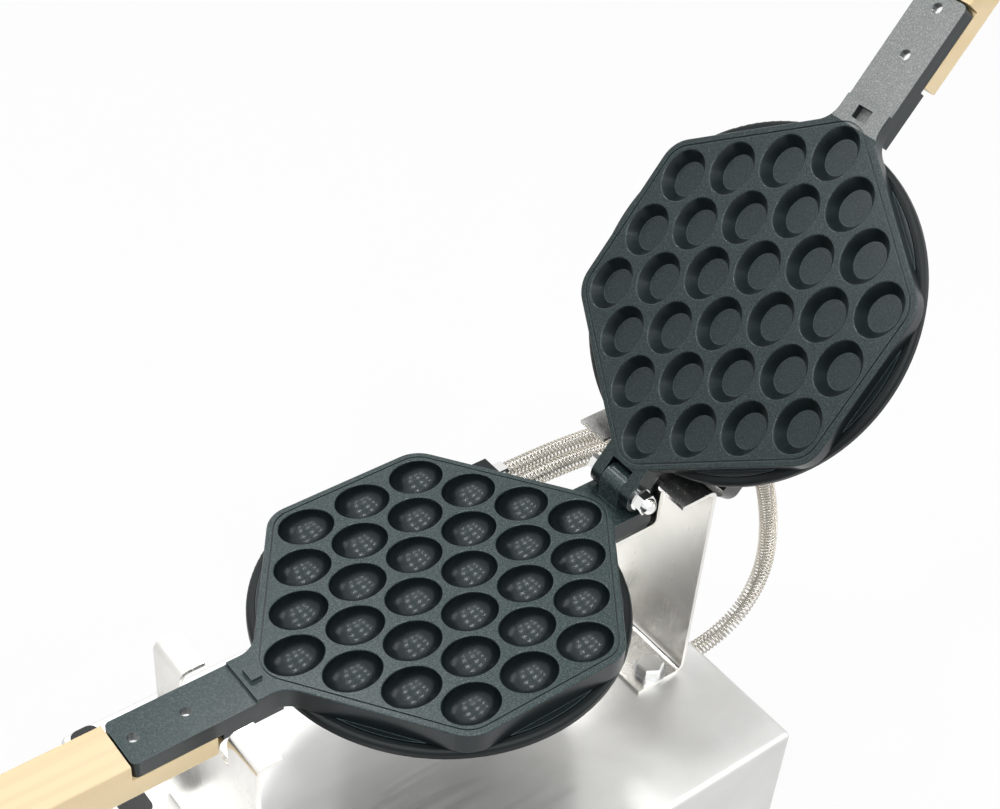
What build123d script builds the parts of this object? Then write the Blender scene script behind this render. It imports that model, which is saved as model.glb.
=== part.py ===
from build123d import *
import math
import os

# An egg waffle pan: two hinged cast pans with round heater dishes and wooden handles, carried by
# two bent sheet supports on a heated base cabinet. X runs from the handles to the hinge, Y across,
# Z up from the floor. The origin is on the floor under the centre of the lower pan.

os.makedirs("parts", exist_ok=True)

# ---- pans: the pattern of eggs and the castings ----
egg_pitch = 32.0            # eggs along a row, handle to hinge
row_pitch = 22.0            # rows across the pan
rows_each_side = 3          # rows either side of the middle one
middle_row_eggs = 6
egg_half_length = 14.1
egg_half_width = 11.3
egg_rim_round = 0.5
cup_depth = 6.6             # flat bottomed cups of the upper pan
cup_floor_share = 0.66      # cup floor against cup rim
rim_margin = 5.5            # metal outside the outer eggs
outline_round = 17.0        # corner radius of the six sided mould
edge_round = 0.7
seal_groove_inset = 2.9
seal_groove_width = 0.9
seal_groove_depth = 0.8
parting_gap = 0.3           # between the two moulds when shut
lower_wall = 11.0           # mould face down to the flange
upper_wall = 7.2
flange_thickness = 4.0
flange_radius = 86.0

# ---- heater dishes under the castings ----
dish_radius = 90.3
dish_wall = 2.0
dish_ledge = 3.0            # width of the ledge under the flange
dish_lip_clearance = 0.3    # lip round the flange disc
dish_lip_gap = 0.6          # lip below the flange face
dish_shoulder = 2.2
lower_dish_depth = 27.0     # flange face to the outside of the dish floor
upper_dish_depth = 24.0
dish_foot_radius = 68.0     # where the sloping side meets the dish floor
dish_side_wall = 2.8        # thickness of the sloping side, measured level
dish_corner_round = 8.0
element_ring_radius = 54.0
element_radius = 3.25
element_gap_angle = 40.0
element_pin_length = 7.0
dish_post_radius = 5.0
dish_post_circle = 44.0
dish_screw_radius = 2.0
dish_screw_head_radius = 4.0
dish_screw_head_height = 2.4
dish_screw_count = 3
wool_clearance = 0.5

# ---- neck, tang and key at the handle end ----
neck_half_width = 13.3
neck_flare_round = 14.0
boss_end = 107.0            # distance of each of these from the pan centre
seat_start = 94.0
seat_end = 124.0
tang_end = 166.5
neck_depth = 14.2
tang_drop = 1.8             # tang face below the boss face
tang_thickness = 9.0
tang_corner_round = 3.0
key_position = 101.5
key_length = 5.5
key_width = 7.5
key_height = 2.2
key_clearance = 0.5
socket_depth = 4.5
handle_screw_positions = (134.5, 159.5)
handle_screw_radius = 2.5
screw_hole_clearance = 0.1
screw_tip_recess = 2.5
screw_head_radius = 4.4

# ---- wooden handles ----
handle_half_width = 13.5
handle_lap_thickness = 12.7
handle_length = 186.0
handle_long_round = 3.0
handle_end_round = 6.0

# ---- hinge ----
hinge_x = 108.0
hinge_height = 8.3          # axis above the parting face
hinge_bolt_radius = 3.0
hinge_bore_clearance = 0.05
barrel_radius = 7.8
barrel_half_width = 6.8
ear_gap = 0.5
ear_width = 6.5
lug_start = 88.0
lug_end = 116.0
lug_half_width = 16.0
lug_top_drop = 0.5
lug_depth = 11.3
lug_chamfer = 2.0
slot_start = 98.5
arm_start = 91.2            # arm's root, clear of the dish
arm_top = 12.5              # arm's top above the parting face
washer_thickness = 1.2
washer_radius = 6.0
nut_across_flats = 10.0
nut_height = 5.0
nut_dome_radius = 4.5
bolt_head_height = 4.0
lid_open_angle = 128.3

# ---- base cabinet ----
base_length = 306.0
base_width = 206.0
base_height = 144.0
sheet = 1.2
cabinet_corner_round = 3.0
frame_width = 9.0
panel_clearance = 0.4
panel_lap = 4.0
foot_height = 18.0
foot_radius = 13.0
foot_inset = 24.0
foot_screw_radius = 2.5
foot_screw_head_radius = 5.0
foot_screw_head_height = 3.0
parting_above_base = 109.5

# ---- bent sheet supports ----
support_sheet = 2.0
support_bend = 3.0          # inside radius of each bend
front_plate_x = -126.5      # face away from the pan
front_support_width = 87.0
front_flange_drop = 3.0     # flange face below the parting face
front_flange_length = 13.0
front_notch_half_width = 20.3
front_seat_half_width = 13.0
front_seat_end = -109.0
front_foot_length = 29.0
rear_plate_x = 133.5        # face towards the pan
rear_support_width = 77.0
rear_flange_rise = 19.0
rear_flange_length = 20.5
rear_notch_half_width = 20.6
rear_seat_half_width = 17.3
rear_seat_wall_x = 119.0
rear_seat_front_x = 93.5
rear_foot_length = 29.3
rear_bridge_rise = 13.0     # seat's bridge above the parting face
notch_relief = 8.0          # notch floor below the seat
support_bolt_spacing = 62.0
support_bolt_setback = 15.4
support_bolt_radius = 4.0
support_hole_clearance = 0.3
support_washer_radius = 8.5
support_washer_thickness = 1.6
support_nut_across = 13.0
support_head_height = 5.3
support_head_chamfer = 0.8

# ---- armoured conduits ----
conduit_radius = 5.0
conduit_inner_radius = 3.2
gland_across = 11.0
gland_height = 6.0
gland_nut_height = 3.0
gland_thread_radius = 4.3
gland_hole_clearance = 0.1
gland_thread_end = 0.5      # thread showing past the lock nut
conduit_bend = 30.0
rear_gland_drop = 20.0      # below the top of the base
lower_gland_rows = (50.0, 61.5)
lower_gland_drop = 20.0
lower_boss_face = 79.0
lower_boss_start = 36.0
lower_boss_top_drop = 13.8
lower_boss_bottom_drop = 27.0
lower_boss_rows = (41.0, 70.0)
upper_gland_x = 64.0
upper_gland_y = -20.0
rear_gland_rows = (-20.0, 40.0, 62.0)

# ---- cable cover on the back of the upper dish, by the hinge ----
cover_start = 48.0
cover_end = 87.0
cover_width = 40.0
cover_middle_y = -21.0
cover_rise = 8.0            # beyond the dish floor
cover_height = 15.5
cover_wall = 2.5
cover_corner_round = 7.0
cover_edge_round = 3.0
cover_swing_radius = 30.8   # kept clear round the hinge axis for the rear support
cover_pocket_end = 70.0
cover_pocket_half_width = 11.0
wire_hole_x = 57.0          # hole through the dish floor under the cover
wire_hole_radius = 5.0
cover_screw_x = 52.0
cover_screw_spacing = 31.0
cover_screw_radius = 1.6
cover_screw_head_radius = 3.0
cover_screw_head_height = 2.0

# ---- controls on the front panel, socket on the rear panel ----
knob_radius = 17.0
knob_height = 16.0
knob_clearance = 1.0
knob_skirt_height = 3.0
spindle_radius = 3.0
spindle_clearance = 0.05
spindle_reach = 14.0        # beyond the panel
control_body_radius = 17.0
control_body_depth = 24.0
thermostat_y = 6.0
timer_y = -54.0
dial_drop = 76.0            # below the top of the base
switch_y = 64.0
switch_width = 21.0
switch_height = 28.0
switch_bezel = 2.5
switch_depth = 20.0
rocker_clearance = 0.4
rocker_angle = 8.0
lamp_radius = 4.5
lamp_y = 36.0
label_length = 64.0
label_width = 14.5
label_thickness = 0.8
label_end_gap = 1.5
label_edge_gap = 3.5
inlet_y = -62.0
inlet_width = 27.5
inlet_height = 20.0
inlet_depth = 26.0
inlet_recess = 18.0
inlet_wall = 2.2
inlet_flange = 2.0
inlet_flange_over = 9.0
inlet_flange_rise = 5.0
inlet_corner_round = 2.0
inlet_pin_length = 12.0
inlet_pin_pitch = 7.0
inlet_pin_offset = 2.0
inlet_pin_thickness = 2.0
inlet_pin_width = 4.0
inlet_screw_reach = 9.0
inlet_screw_head_height = 1.8
inlet_screw_setback = 20.0
inlet_screw_radius = 1.6
terminal_length = 60.0
terminal_width = 22.0
terminal_height = 18.0

bulb_radius = 3.0
bulb_length = 60.0
handle_end_gap = 3.0
handle_step_gap = 1.0
handle_top_round = 1.0
support_corner_round = 2.0
bottom_rim = 40.0
vent_pitch = 10.0
vent_count = 9
vent_length = 50.0
vent_width = 3.0
vent_y = 30.0
bush_radius = 4.5
switch_border = 1.5
lamp_levels = (98.0, 72.0)
inlet_below_middle = 30.0
foot_taper = 2.0
foot_edge_round = 1.5
foot_recess = 6.0
foot_screw_reach = 8.0
foot_nut_across = 8.0
foot_nut_height = 4.0
label_round = 5.0
label_edge_round = 0.3
collar_depth = 4.0
collar_radius = 5.0
collar_clearance = 0.2
collar_thickness = 3.0
spindle_flat = 2.4
spindle_flat_length = 10.0
knob_grip_radius = 13.0
knob_mark_width = 2.0
knob_mark_depth = 1.0
knob_bore_end = 0.5
knob_recess = 4.0
knob_edge_round = 1.0
knob_taper = 4.0
spindle_end_gap = 1.0
control_end_wall = 3.0
rocker_pivot_depth = 2.0
rocker_window_half = 7.5
rocker_gap = 0.4
rocker_pin_radius = 1.5
rocker_pin_length = 1.0
rocker_back = 5.0
rocker_end_depth = 8.0
rocker_middle_depth = 5.5
lamp_body_length = 15.0
lamp_rim = 1.5
lamp_rim_height = 1.5
terminal_x = 40.0
terminal_rows = (-20.0, -10.0, 0.0, 10.0, 20.0)
terminal_round = 1.5
terminal_hole_radius = 3.0
gland_wall_reach = 9.0

# ---- levels and places worked out from the above ----
base_top = foot_height + base_height
parting = base_top + parting_above_base
hinge_z = parting + hinge_height
hinge_axis = Axis((hinge_x, 0, hinge_z), (0, 1, 0))
dial_z = base_top - dial_drop
rear_gland_z = base_top - rear_gland_drop
lower_gland_z = parting - lower_gland_drop
front_panel_x = -base_length / 2 + sheet
rear_panel_x = base_length / 2 - sheet
ear_inner = barrel_half_width + ear_gap
ear_outer = ear_inner + ear_width
foot_xs = (-base_length / 2 + foot_inset, base_length / 2 - foot_inset)
foot_ys = (-base_width / 2 + foot_inset, base_width / 2 - foot_inset)
dial_rows = (thermostat_y, timer_y)
inlet_screw_rows = (inlet_y - inlet_screw_setback, inlet_y + inlet_screw_setback)


def save(solid, name):
    """Label one finished piece and write its file."""
    solid.label = name
    export_step(solid, f"parts/{name}.step")


def opened(solid):
    """Swing a piece of the upper pan from shut to the open rest position."""
    return solid.rotate(hinge_axis, lid_open_angle)


def egg_places(z):
    """Centres of all the eggs on the level z, in rows along X."""
    places = []
    for row in range(-rows_each_side, rows_each_side + 1):
        eggs = middle_row_eggs - abs(row)
        for egg in range(eggs):
            x = (egg - (eggs - 1) / 2) * egg_pitch
            places.append((x, row * row_pitch, z))
    return places


def hexagon(z, inset=0.0):
    """The six sided outline of a mould, drawn in by inset."""
    outer_row = rows_each_side * row_pitch
    run = egg_pitch * rows_each_side / 2
    slope = math.hypot(outer_row, run)
    nx, ny = outer_row / slope, run / slope
    reach = math.hypot(egg_half_length * nx, egg_half_width * ny)
    slant = (middle_row_eggs - 1) / 2 * egg_pitch * nx + reach + rim_margin - inset
    side = outer_row + egg_half_width + rim_margin - inset
    tip = slant / nx
    corner = (slant - ny * side) / nx
    points = [(tip, 0), (corner, side), (-corner, side), (-tip, 0), (-corner, -side), (corner, -side)]
    with BuildSketch(Plane.XY.offset(z)) as outline:
        with BuildLine():
            Polyline(*points, close=True)
        make_face()
        fillet(outline.vertices(), outline_round - inset)
    return outline.sketch


def neck(z):
    """The mould outline with its neck towards the handle, blended by flares."""
    with BuildSketch(Plane.XY.offset(z)) as outline:
        add(hexagon(z))
        with Locations((-seat_end / 2, 0)):
            Rectangle(seat_end, 2 * neck_half_width)
        flares = outline.vertices().filter_by(lambda v: -seat_end + 1 < v.X < -60 and abs(v.Y) < 15)
        fillet(flares, neck_flare_round)
    return outline.sketch


def slab(length_from, length_to, half_width, z_low, z_high):
    """A block given by its X range, half its width and its Z range."""
    height = z_high - z_low
    with BuildPart() as block:
        with BuildSketch(Plane.XY.offset(z_low)):
            with Locations(((length_from + length_to) / 2, 0)):
                Rectangle(length_to - length_from, 2 * half_width)
        extrude(amount=height)
    return block.part


def cross(x, y, z):
    """A place whose own Z runs along X."""
    return Location((x, y, z), (0, 90, 0))


def post_places(z):
    """Places of the screw posts that hold a dish to its casting."""
    places = []
    for number in range(dish_screw_count):
        angle = math.radians(180 + number * 360 / dish_screw_count)
        places.append((dish_post_circle * math.cos(angle), dish_post_circle * math.sin(angle), z))
    return places


# ---- planes shared by both pans; the upper pan is drawn like a lower one and mirrored ----
middle_plane = Plane.XY.offset(parting + parting_gap / 2)
lower_flange = parting - lower_wall
upper_flange = parting - upper_wall


def lid_piece(solid):
    """Mirror a piece drawn as part of a lower pan into the upper pan, then open it."""
    return opened(mirror(solid, about=middle_plane))


def screw_circle(z):
    return Locations(*post_places(z))


def hex_prism(across, height):
    """A hexagonal head or nut standing on the level it is placed on."""
    with BuildPart() as prism:
        with BuildSketch():
            RegularPolygon(across / 2, 6, major_radius=False, rotation=30)
        extrude(amount=height)
    return prism.part


def pan_body(flange_z):
    """The mould block, flange disc, neck and tang of either pan."""
    tang_top = parting - tang_drop
    with BuildPart() as body:
        extrude(neck(parting), amount=flange_z - parting)
        fillet(body.edges().group_by(Axis.Z)[-1], edge_round)
        with BuildSketch(Plane.XY.offset(flange_z)):
            Circle(flange_radius)
        extrude(amount=-flange_thickness)
        add(slab(-seat_end, -seat_start, neck_half_width, parting - neck_depth, flange_z))
        add(slab(-seat_end, -boss_end, 2 * neck_half_width, tang_top, parting), mode=Mode.SUBTRACT)
        add(slab(-tang_end, -seat_end, neck_half_width, tang_top - tang_thickness, tang_top))
        fillet(body.edges().filter_by(Axis.Z).sort_by(Axis.X)[0:2], tang_corner_round)
    return body.part


def finish_pan(body, flange_z, dish_depth, hollow):
    """Cut the eggs, seal groove and screw holes and add the posts for the dish."""
    disc_low = flange_z - flange_thickness
    post_length = dish_depth - flange_thickness - dish_wall
    with BuildPart() as pan:
        add(body)
        with Locations(*egg_places(parting)):
            add(hollow, mode=Mode.SUBTRACT)
        rims = pan.edges().filter_by(GeomType.ELLIPSE)
        fillet(rims.filter_by_position(Axis.Z, parting - 0.01, parting + 0.01), egg_rim_round)
        with BuildSketch(Plane.XY.offset(parting)):
            add(hexagon(parting, seal_groove_inset))
            add(hexagon(parting, seal_groove_inset + seal_groove_width), mode=Mode.SUBTRACT)
        extrude(amount=-seal_groove_depth, mode=Mode.SUBTRACT)
        with screw_circle(disc_low):
            Cylinder(dish_post_radius, post_length, align=(Align.CENTER, Align.CENTER, Align.MAX))
            Cylinder(dish_screw_radius, post_length, align=(Align.CENTER, Align.CENTER, Align.MAX),
                     mode=Mode.SUBTRACT)
        with Locations(*[(-x, 0, parting) for x in handle_screw_positions]):
            Cylinder(handle_screw_radius + screw_hole_clearance, 4 * tang_thickness, mode=Mode.SUBTRACT)
    return pan.part


def egg_hollow():
    """Half an egg, sunk below the level it is placed on."""
    with BuildPart() as egg:
        with BuildSketch(Plane.XY):
            Ellipse(egg_half_length, egg_half_width)
            with Locations((0, -egg_half_width)):
                Rectangle(3 * egg_half_length, 2 * egg_half_width, mode=Mode.INTERSECT)
        revolve(axis=Axis.X)
    return egg.part


def cup_hollow():
    """A flat bottomed cup with leaning walls, sunk below the level it is placed on."""
    with BuildPart() as cup:
        with BuildSketch(Plane.XY):
            Ellipse(egg_half_length, egg_half_width)
        with BuildSketch(Plane.XY.offset(-cup_depth)):
            Ellipse(egg_half_length * cup_floor_share, egg_half_width * cup_floor_share)
        loft()
    return cup.part


# ---- lower pan casting with its hinge lug and key ----
with BuildPart() as lower_body:
    add(pan_body(lower_flange))
    add(slab(lug_start, lug_end, lug_half_width, parting - lug_depth, parting - lug_top_drop))
    far_corner = lower_body.edges().filter_by(Axis.Y).group_by(Axis.X)[-1].sort_by(Axis.Z)[0]
    chamfer(far_corner, lug_chamfer)
    web_start = hinge_x - barrel_radius
    add(slab(web_start, hinge_x + barrel_radius, barrel_half_width, parting - lug_depth / 2, hinge_z))
    with Locations(Location((hinge_x, 0, hinge_z), (90, 0, 0))):
        Cylinder(barrel_radius, 2 * barrel_half_width)
        Cylinder(hinge_bolt_radius + hinge_bore_clearance, 4 * barrel_half_width, mode=Mode.SUBTRACT)
    with Locations((-key_position, 0, parting)):
        Box(key_length, key_width, key_height, align=(Align.CENTER, Align.CENTER, Align.MIN))
lower_mould = finish_pan(lower_body.part, lower_flange, lower_dish_depth, egg_hollow())
save(lower_mould, "lower_mould")

# ---- upper pan casting with its two hinge ears and the key's socket ----
ear_axis_z = 2 * (parting + parting_gap / 2) - hinge_z
arm_low = parting + parting_gap - arm_top
arm_high = ear_axis_z + barrel_radius
with BuildPart() as upper_body:
    add(pan_body(upper_flange))
    add(slab(lug_start, hinge_x, ear_outer, upper_flange, arm_high))
    add(slab(arm_start, hinge_x, ear_outer, arm_low, upper_flange))
    with Locations(Location((hinge_x, 0, ear_axis_z), (90, 0, 0))):
        Cylinder(barrel_radius, 2 * ear_outer)
        Cylinder(hinge_bolt_radius + hinge_bore_clearance, 4 * ear_outer, mode=Mode.SUBTRACT)
    slot_end = hinge_x + 2 * barrel_radius
    add(slab(slot_start, slot_end, ear_inner, parting - 40, parting), mode=Mode.SUBTRACT)
    with Locations((-key_position, 0, parting)):
        Box(key_length + 2 * key_clearance, key_width + 2 * key_clearance, socket_depth,
            align=(Align.CENTER, Align.CENTER, Align.MAX), mode=Mode.SUBTRACT)
upper_mould = finish_pan(upper_body.part, upper_flange, upper_dish_depth, cup_hollow())
save(lid_piece(upper_mould), "upper_mould")
print("moulds", lower_mould.volume, upper_mould.volume)


# ---- heater dishes, with elements and wool inside ----
def dish_floor(flange_z, depth):
    return flange_z - depth + dish_wall


def dish_outside(flange_z, depth):
    """The solid outer form of a dish, before it is hollowed."""
    rim_z = flange_z - dish_lip_gap
    low = flange_z - depth
    with BuildPart() as form:
        with BuildSketch(Plane.XZ) as half:
            with BuildLine():
                Polyline((0, rim_z), (dish_radius, rim_z), (dish_radius, rim_z - 2 * dish_shoulder),
                         (dish_foot_radius, low), (0, low), close=True)
            make_face()
            outer = half.vertices().filter_by(lambda v: v.X > 1).sort_by(Axis.Y)
            fillet(outer[-1], dish_shoulder)
            outer = half.vertices().filter_by(lambda v: v.X > 1).sort_by(Axis.Y)
            fillet(outer[0], dish_corner_round)
        revolve(axis=Axis.Z)
    return form.part


def dish_inside(flange_z, depth):
    """What is hollowed out of a dish, down to its floor."""
    rim_z = flange_z - dish_lip_gap
    ledge_z = flange_z - flange_thickness
    lip = flange_radius + dish_lip_clearance
    floor_z = dish_floor(flange_z, depth)
    with BuildPart() as form:
        with BuildSketch(Plane.XZ):
            with BuildLine():
                Polyline((0, rim_z), (lip, rim_z), (lip, ledge_z), (lip - dish_ledge, ledge_z),
                         (dish_foot_radius - dish_side_wall, floor_z), (0, floor_z), close=True)
            make_face()
        revolve(axis=Axis.Z)
    return form.part


def element(flange_z):
    """A ring heater lying against the casting, its two pins turned down into the dish."""
    z = flange_z - flange_thickness - element_radius
    half_gap = element_gap_angle / 2
    with BuildPart() as ring:
        with BuildLine() as path:
            CenterArc((0, 0, z), element_ring_radius, half_gap, 360 - element_gap_angle)
        with BuildSketch(Plane(path.line @ 0, z_dir=path.line % 0)):
            Circle(element_radius)
        sweep()
        with Locations(path.line @ 0, path.line @ 1):
            Cylinder(element_radius, element_pin_length, align=(Align.CENTER, Align.CENTER, Align.MAX))
            Sphere(element_radius)
    return ring.part


def wool(flange_z, depth):
    """A disc of wool filling the dish below the element, holed for the posts and pins."""
    top = flange_z - flange_thickness - 2 * element_radius
    floor_z = dish_floor(flange_z, depth)
    pin_angle = math.radians(element_gap_angle / 2)
    pin_x = element_ring_radius * math.cos(pin_angle)
    pin_y = element_ring_radius * math.sin(pin_angle)
    with BuildPart() as disc:
        with BuildSketch(Plane.XY.offset(floor_z)):
            Circle(dish_foot_radius - dish_side_wall - wool_clearance)
            with Locations(*[(x, y) for x, y, z in post_places(0)]):
                Circle(dish_post_radius + wool_clearance, mode=Mode.SUBTRACT)
            with Locations((wire_hole_x, upper_gland_y), (wire_hole_x, -upper_gland_y)):
                Circle(wire_hole_radius + wool_clearance, mode=Mode.SUBTRACT)
            with Locations((pin_x, pin_y), (pin_x, -pin_y)):
                Circle(element_radius + wool_clearance, mode=Mode.SUBTRACT)
        extrude(amount=top - floor_z)
    return disc.part


def dish_screws(flange_z, depth):
    """Screws through the dish floor into the posts, head outside."""
    low = flange_z - depth
    reach = depth - flange_thickness - 1
    with BuildPart() as screws:
        with screw_circle(low):
            Cylinder(dish_screw_head_radius, dish_screw_head_height,
                     align=(Align.CENTER, Align.CENTER, Align.MAX))
            Cylinder(dish_screw_radius, reach, align=(Align.CENTER, Align.CENTER, Align.MIN))
    return screws.part


lower_boss_low = parting - lower_boss_bottom_drop
lower_boss_high = parting - lower_boss_top_drop
boss_middle = sum(lower_boss_rows) / 2
boss_span = lower_boss_rows[1] - lower_boss_rows[0]
with BuildPart() as lower_housing:
    add(dish_outside(lower_flange, lower_dish_depth))
    with Locations((lower_boss_start, boss_middle, lower_boss_low)):
        Box(lower_boss_face - lower_boss_start, boss_span, lower_boss_high - lower_boss_low,
            align=(Align.MIN, Align.CENTER, Align.MIN))
    add(dish_inside(lower_flange, lower_dish_depth), mode=Mode.SUBTRACT)
    with screw_circle(lower_flange - lower_dish_depth):
        Cylinder(dish_screw_radius + screw_hole_clearance, 4 * dish_wall, mode=Mode.SUBTRACT)
    with Locations(*[cross(lower_boss_face, y, lower_gland_z) for y in lower_gland_rows]):
        Cylinder(gland_thread_radius + gland_hole_clearance, 2 * (lower_boss_face - lower_boss_start),
                 mode=Mode.SUBTRACT)
save(lower_housing.part, "lower_housing")

upper_dish_low = upper_flange - upper_dish_depth
cover_low = upper_dish_low - cover_rise


def cover_screw_places(z):
    half = cover_screw_spacing / 2
    return [(cover_screw_x, cover_middle_y + side * half, z) for side in (-1, 1)]


with BuildPart() as upper_housing:
    add(dish_outside(upper_flange, upper_dish_depth))
    add(dish_inside(upper_flange, upper_dish_depth), mode=Mode.SUBTRACT)
    with screw_circle(upper_flange - upper_dish_depth):
        Cylinder(dish_screw_radius + screw_hole_clearance, 4 * dish_wall, mode=Mode.SUBTRACT)
    with Locations((wire_hole_x, upper_gland_y, upper_dish_low)):
        Cylinder(wire_hole_radius, 4 * dish_wall, mode=Mode.SUBTRACT)
    with Locations(*cover_screw_places(upper_dish_low)):
        Cylinder(cover_screw_radius + hinge_bore_clearance, 4 * dish_wall, mode=Mode.SUBTRACT)
save(lid_piece(upper_housing.part), "upper_housing")

with BuildPart() as cable_cover:
    with Locations((cover_start, cover_middle_y, cover_low)):
        Box(cover_end - cover_start, cover_width, cover_height,
            align=(Align.MIN, Align.CENTER, Align.MIN))
    fillet(cable_cover.edges().filter_by(Axis.Z), cover_corner_round)
    fillet(cable_cover.edges().group_by(Axis.Z)[0], cover_edge_round)
    with Locations((cover_start + cover_wall, upper_gland_y, cover_low + cover_wall)):
        Box(cover_pocket_end - cover_start - cover_wall, 2 * cover_pocket_half_width, cover_height,
            align=(Align.MIN, Align.CENTER, Align.MIN), mode=Mode.SUBTRACT)
    add(dish_outside(upper_flange, upper_dish_depth), mode=Mode.SUBTRACT)
    with Locations(Location((hinge_x, 0, ear_axis_z), (90, 0, 0))):
        Cylinder(cover_swing_radius, 3 * cover_width, mode=Mode.SUBTRACT)
    with Locations((upper_gland_x, upper_gland_y, cover_low)):
        Cylinder(gland_thread_radius + gland_hole_clearance, 4 * cover_wall, mode=Mode.SUBTRACT)
    with Locations(*cover_screw_places(cover_low)):
        Cylinder(cover_screw_radius + screw_hole_clearance, 4 * cover_rise, mode=Mode.SUBTRACT)
        Cylinder(cover_screw_head_radius + screw_hole_clearance, 2 * cover_screw_head_height,
                 mode=Mode.SUBTRACT)
save(lid_piece(cable_cover.part), "upper_cable_cover")

with BuildPart() as cover_screws:
    with Locations(*cover_screw_places(cover_low)):
        Cylinder(cover_screw_head_radius, cover_screw_head_height,
                 align=(Align.CENTER, Align.CENTER, Align.MIN))
        Cylinder(cover_screw_radius, cover_rise + dish_wall,
                 align=(Align.CENTER, Align.CENTER, Align.MIN))
save(lid_piece(cover_screws.part), "cover_screws")

save(element(lower_flange), "lower_heating_element")
save(lid_piece(element(upper_flange)), "upper_heating_element")
save(wool(lower_flange, lower_dish_depth), "lower_insulation")
save(lid_piece(wool(upper_flange, upper_dish_depth)), "upper_insulation")
save(dish_screws(lower_flange, lower_dish_depth), "lower_housing_screws")
save(lid_piece(dish_screws(upper_flange, upper_dish_depth)), "upper_housing_screws")

with BuildPart() as temperature_bulb:
    with Locations(Location((0, 0, lower_flange - flange_thickness - bulb_radius), (90, 0, 0))):
        Cylinder(bulb_radius, bulb_length)
    fillet(temperature_bulb.edges().filter_by(GeomType.CIRCLE), bulb_radius / 3)
save(temperature_bulb.part, "temperature_bulb")


# ---- wooden handles and their screws ----
def handle():
    """The handle of the lower pan, stepped to lap under the tang."""
    tang_top = parting - tang_drop
    lap_top = tang_top - tang_thickness
    low = lap_top - handle_lap_thickness
    start = -seat_end - handle_end_gap
    far = -seat_end - handle_length
    with BuildPart() as wood:
        add(slab(far, start, handle_half_width, low, tang_top))
        fillet(wood.edges().filter_by(Axis.Z).sort_by(Axis.X)[0:2], handle_end_round)
        fillet(wood.edges().group_by(Axis.Z)[0], handle_long_round)
        fillet(wood.edges().group_by(Axis.Z)[-1].filter_by(lambda e: e.length > 1), handle_top_round)
        add(slab(-tang_end - handle_step_gap, start + 1, 2 * handle_half_width, lap_top, tang_top + 1),
            mode=Mode.SUBTRACT)
        with Locations(*[Location((-x, 0, low), (180, 0, 0)) for x in handle_screw_positions]):
            CounterSinkHole(handle_screw_radius + screw_hole_clearance,
                            screw_head_radius + screw_hole_clearance, 3 * handle_lap_thickness)
    return wood.part


def handle_screws():
    """Countersunk screws from the wood into the tang, ending below its face."""
    low = parting - tang_drop - tang_thickness - handle_lap_thickness
    top = parting - tang_drop - screw_tip_recess
    with BuildPart() as screws:
        with Locations(*[(-x, 0, low) for x in handle_screw_positions]):
            Cylinder(handle_screw_radius, top - low, align=(Align.CENTER, Align.CENTER, Align.MIN))
            Cone(screw_head_radius, handle_screw_radius, screw_head_radius - handle_screw_radius,
                 align=(Align.CENTER, Align.CENTER, Align.MIN))
    return screws.part


save(handle(), "lower_handle")
save(lid_piece(handle()), "upper_handle")
save(handle_screws(), "lower_handle_screws")
save(lid_piece(handle_screws()), "upper_handle_screws")

# ---- hinge bolt with its washers and domed nut ----
nut_face = ear_outer + washer_thickness
toward_front = Plane(origin=(hinge_x, 0, hinge_z), x_dir=(1, 0, 0), z_dir=(0, -1, 0))
with BuildPart() as hinge_bolt:
    with BuildSketch(toward_front.offset(-nut_face)):
        Circle(hinge_bolt_radius)
    extrude(amount=2 * nut_face + nut_height)
    with BuildSketch(toward_front.offset(-nut_face)):
        RegularPolygon(nut_across_flats / 2, 6, major_radius=False)
    extrude(amount=-bolt_head_height)
save(hinge_bolt.part, "hinge_bolt")

with BuildPart() as hinge_washers:
    for side in (-ear_outer - washer_thickness, ear_outer):
        with BuildSketch(toward_front.offset(side)):
            Circle(washer_radius)
            Circle(hinge_bolt_radius + hinge_bore_clearance, mode=Mode.SUBTRACT)
        extrude(amount=washer_thickness)
save(hinge_washers.part, "hinge_washers")

with BuildPart() as hinge_nut:
    with BuildSketch(toward_front.offset(nut_face)):
        RegularPolygon(nut_across_flats / 2, 6, major_radius=False)
    extrude(amount=nut_height)
    with Locations(Location((hinge_x, -nut_face - nut_height, hinge_z))):
        Sphere(nut_dome_radius)
    with BuildSketch(toward_front.offset(nut_face)):
        Circle(hinge_bolt_radius + hinge_bore_clearance)
    extrude(amount=nut_height + screw_hole_clearance, mode=Mode.SUBTRACT)
save(hinge_nut.part, "hinge_nut")


# ---- bent sheet supports ----
def bent_sheet(points, width):
    """A strip bent along the line through the middle of the sheet, given in X and Z."""
    with BuildPart() as strip:
        with BuildSketch(Plane.XZ):
            with BuildLine() as middle:
                FilletPolyline(*points, radius=support_bend + support_sheet / 2)
            trace(middle.line, support_sheet)
        extrude(amount=width / 2, both=True)
    return strip.part


def bolt_places(x, z):
    return [(x, -support_bolt_spacing / 2, z), (x, support_bolt_spacing / 2, z)]


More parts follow.
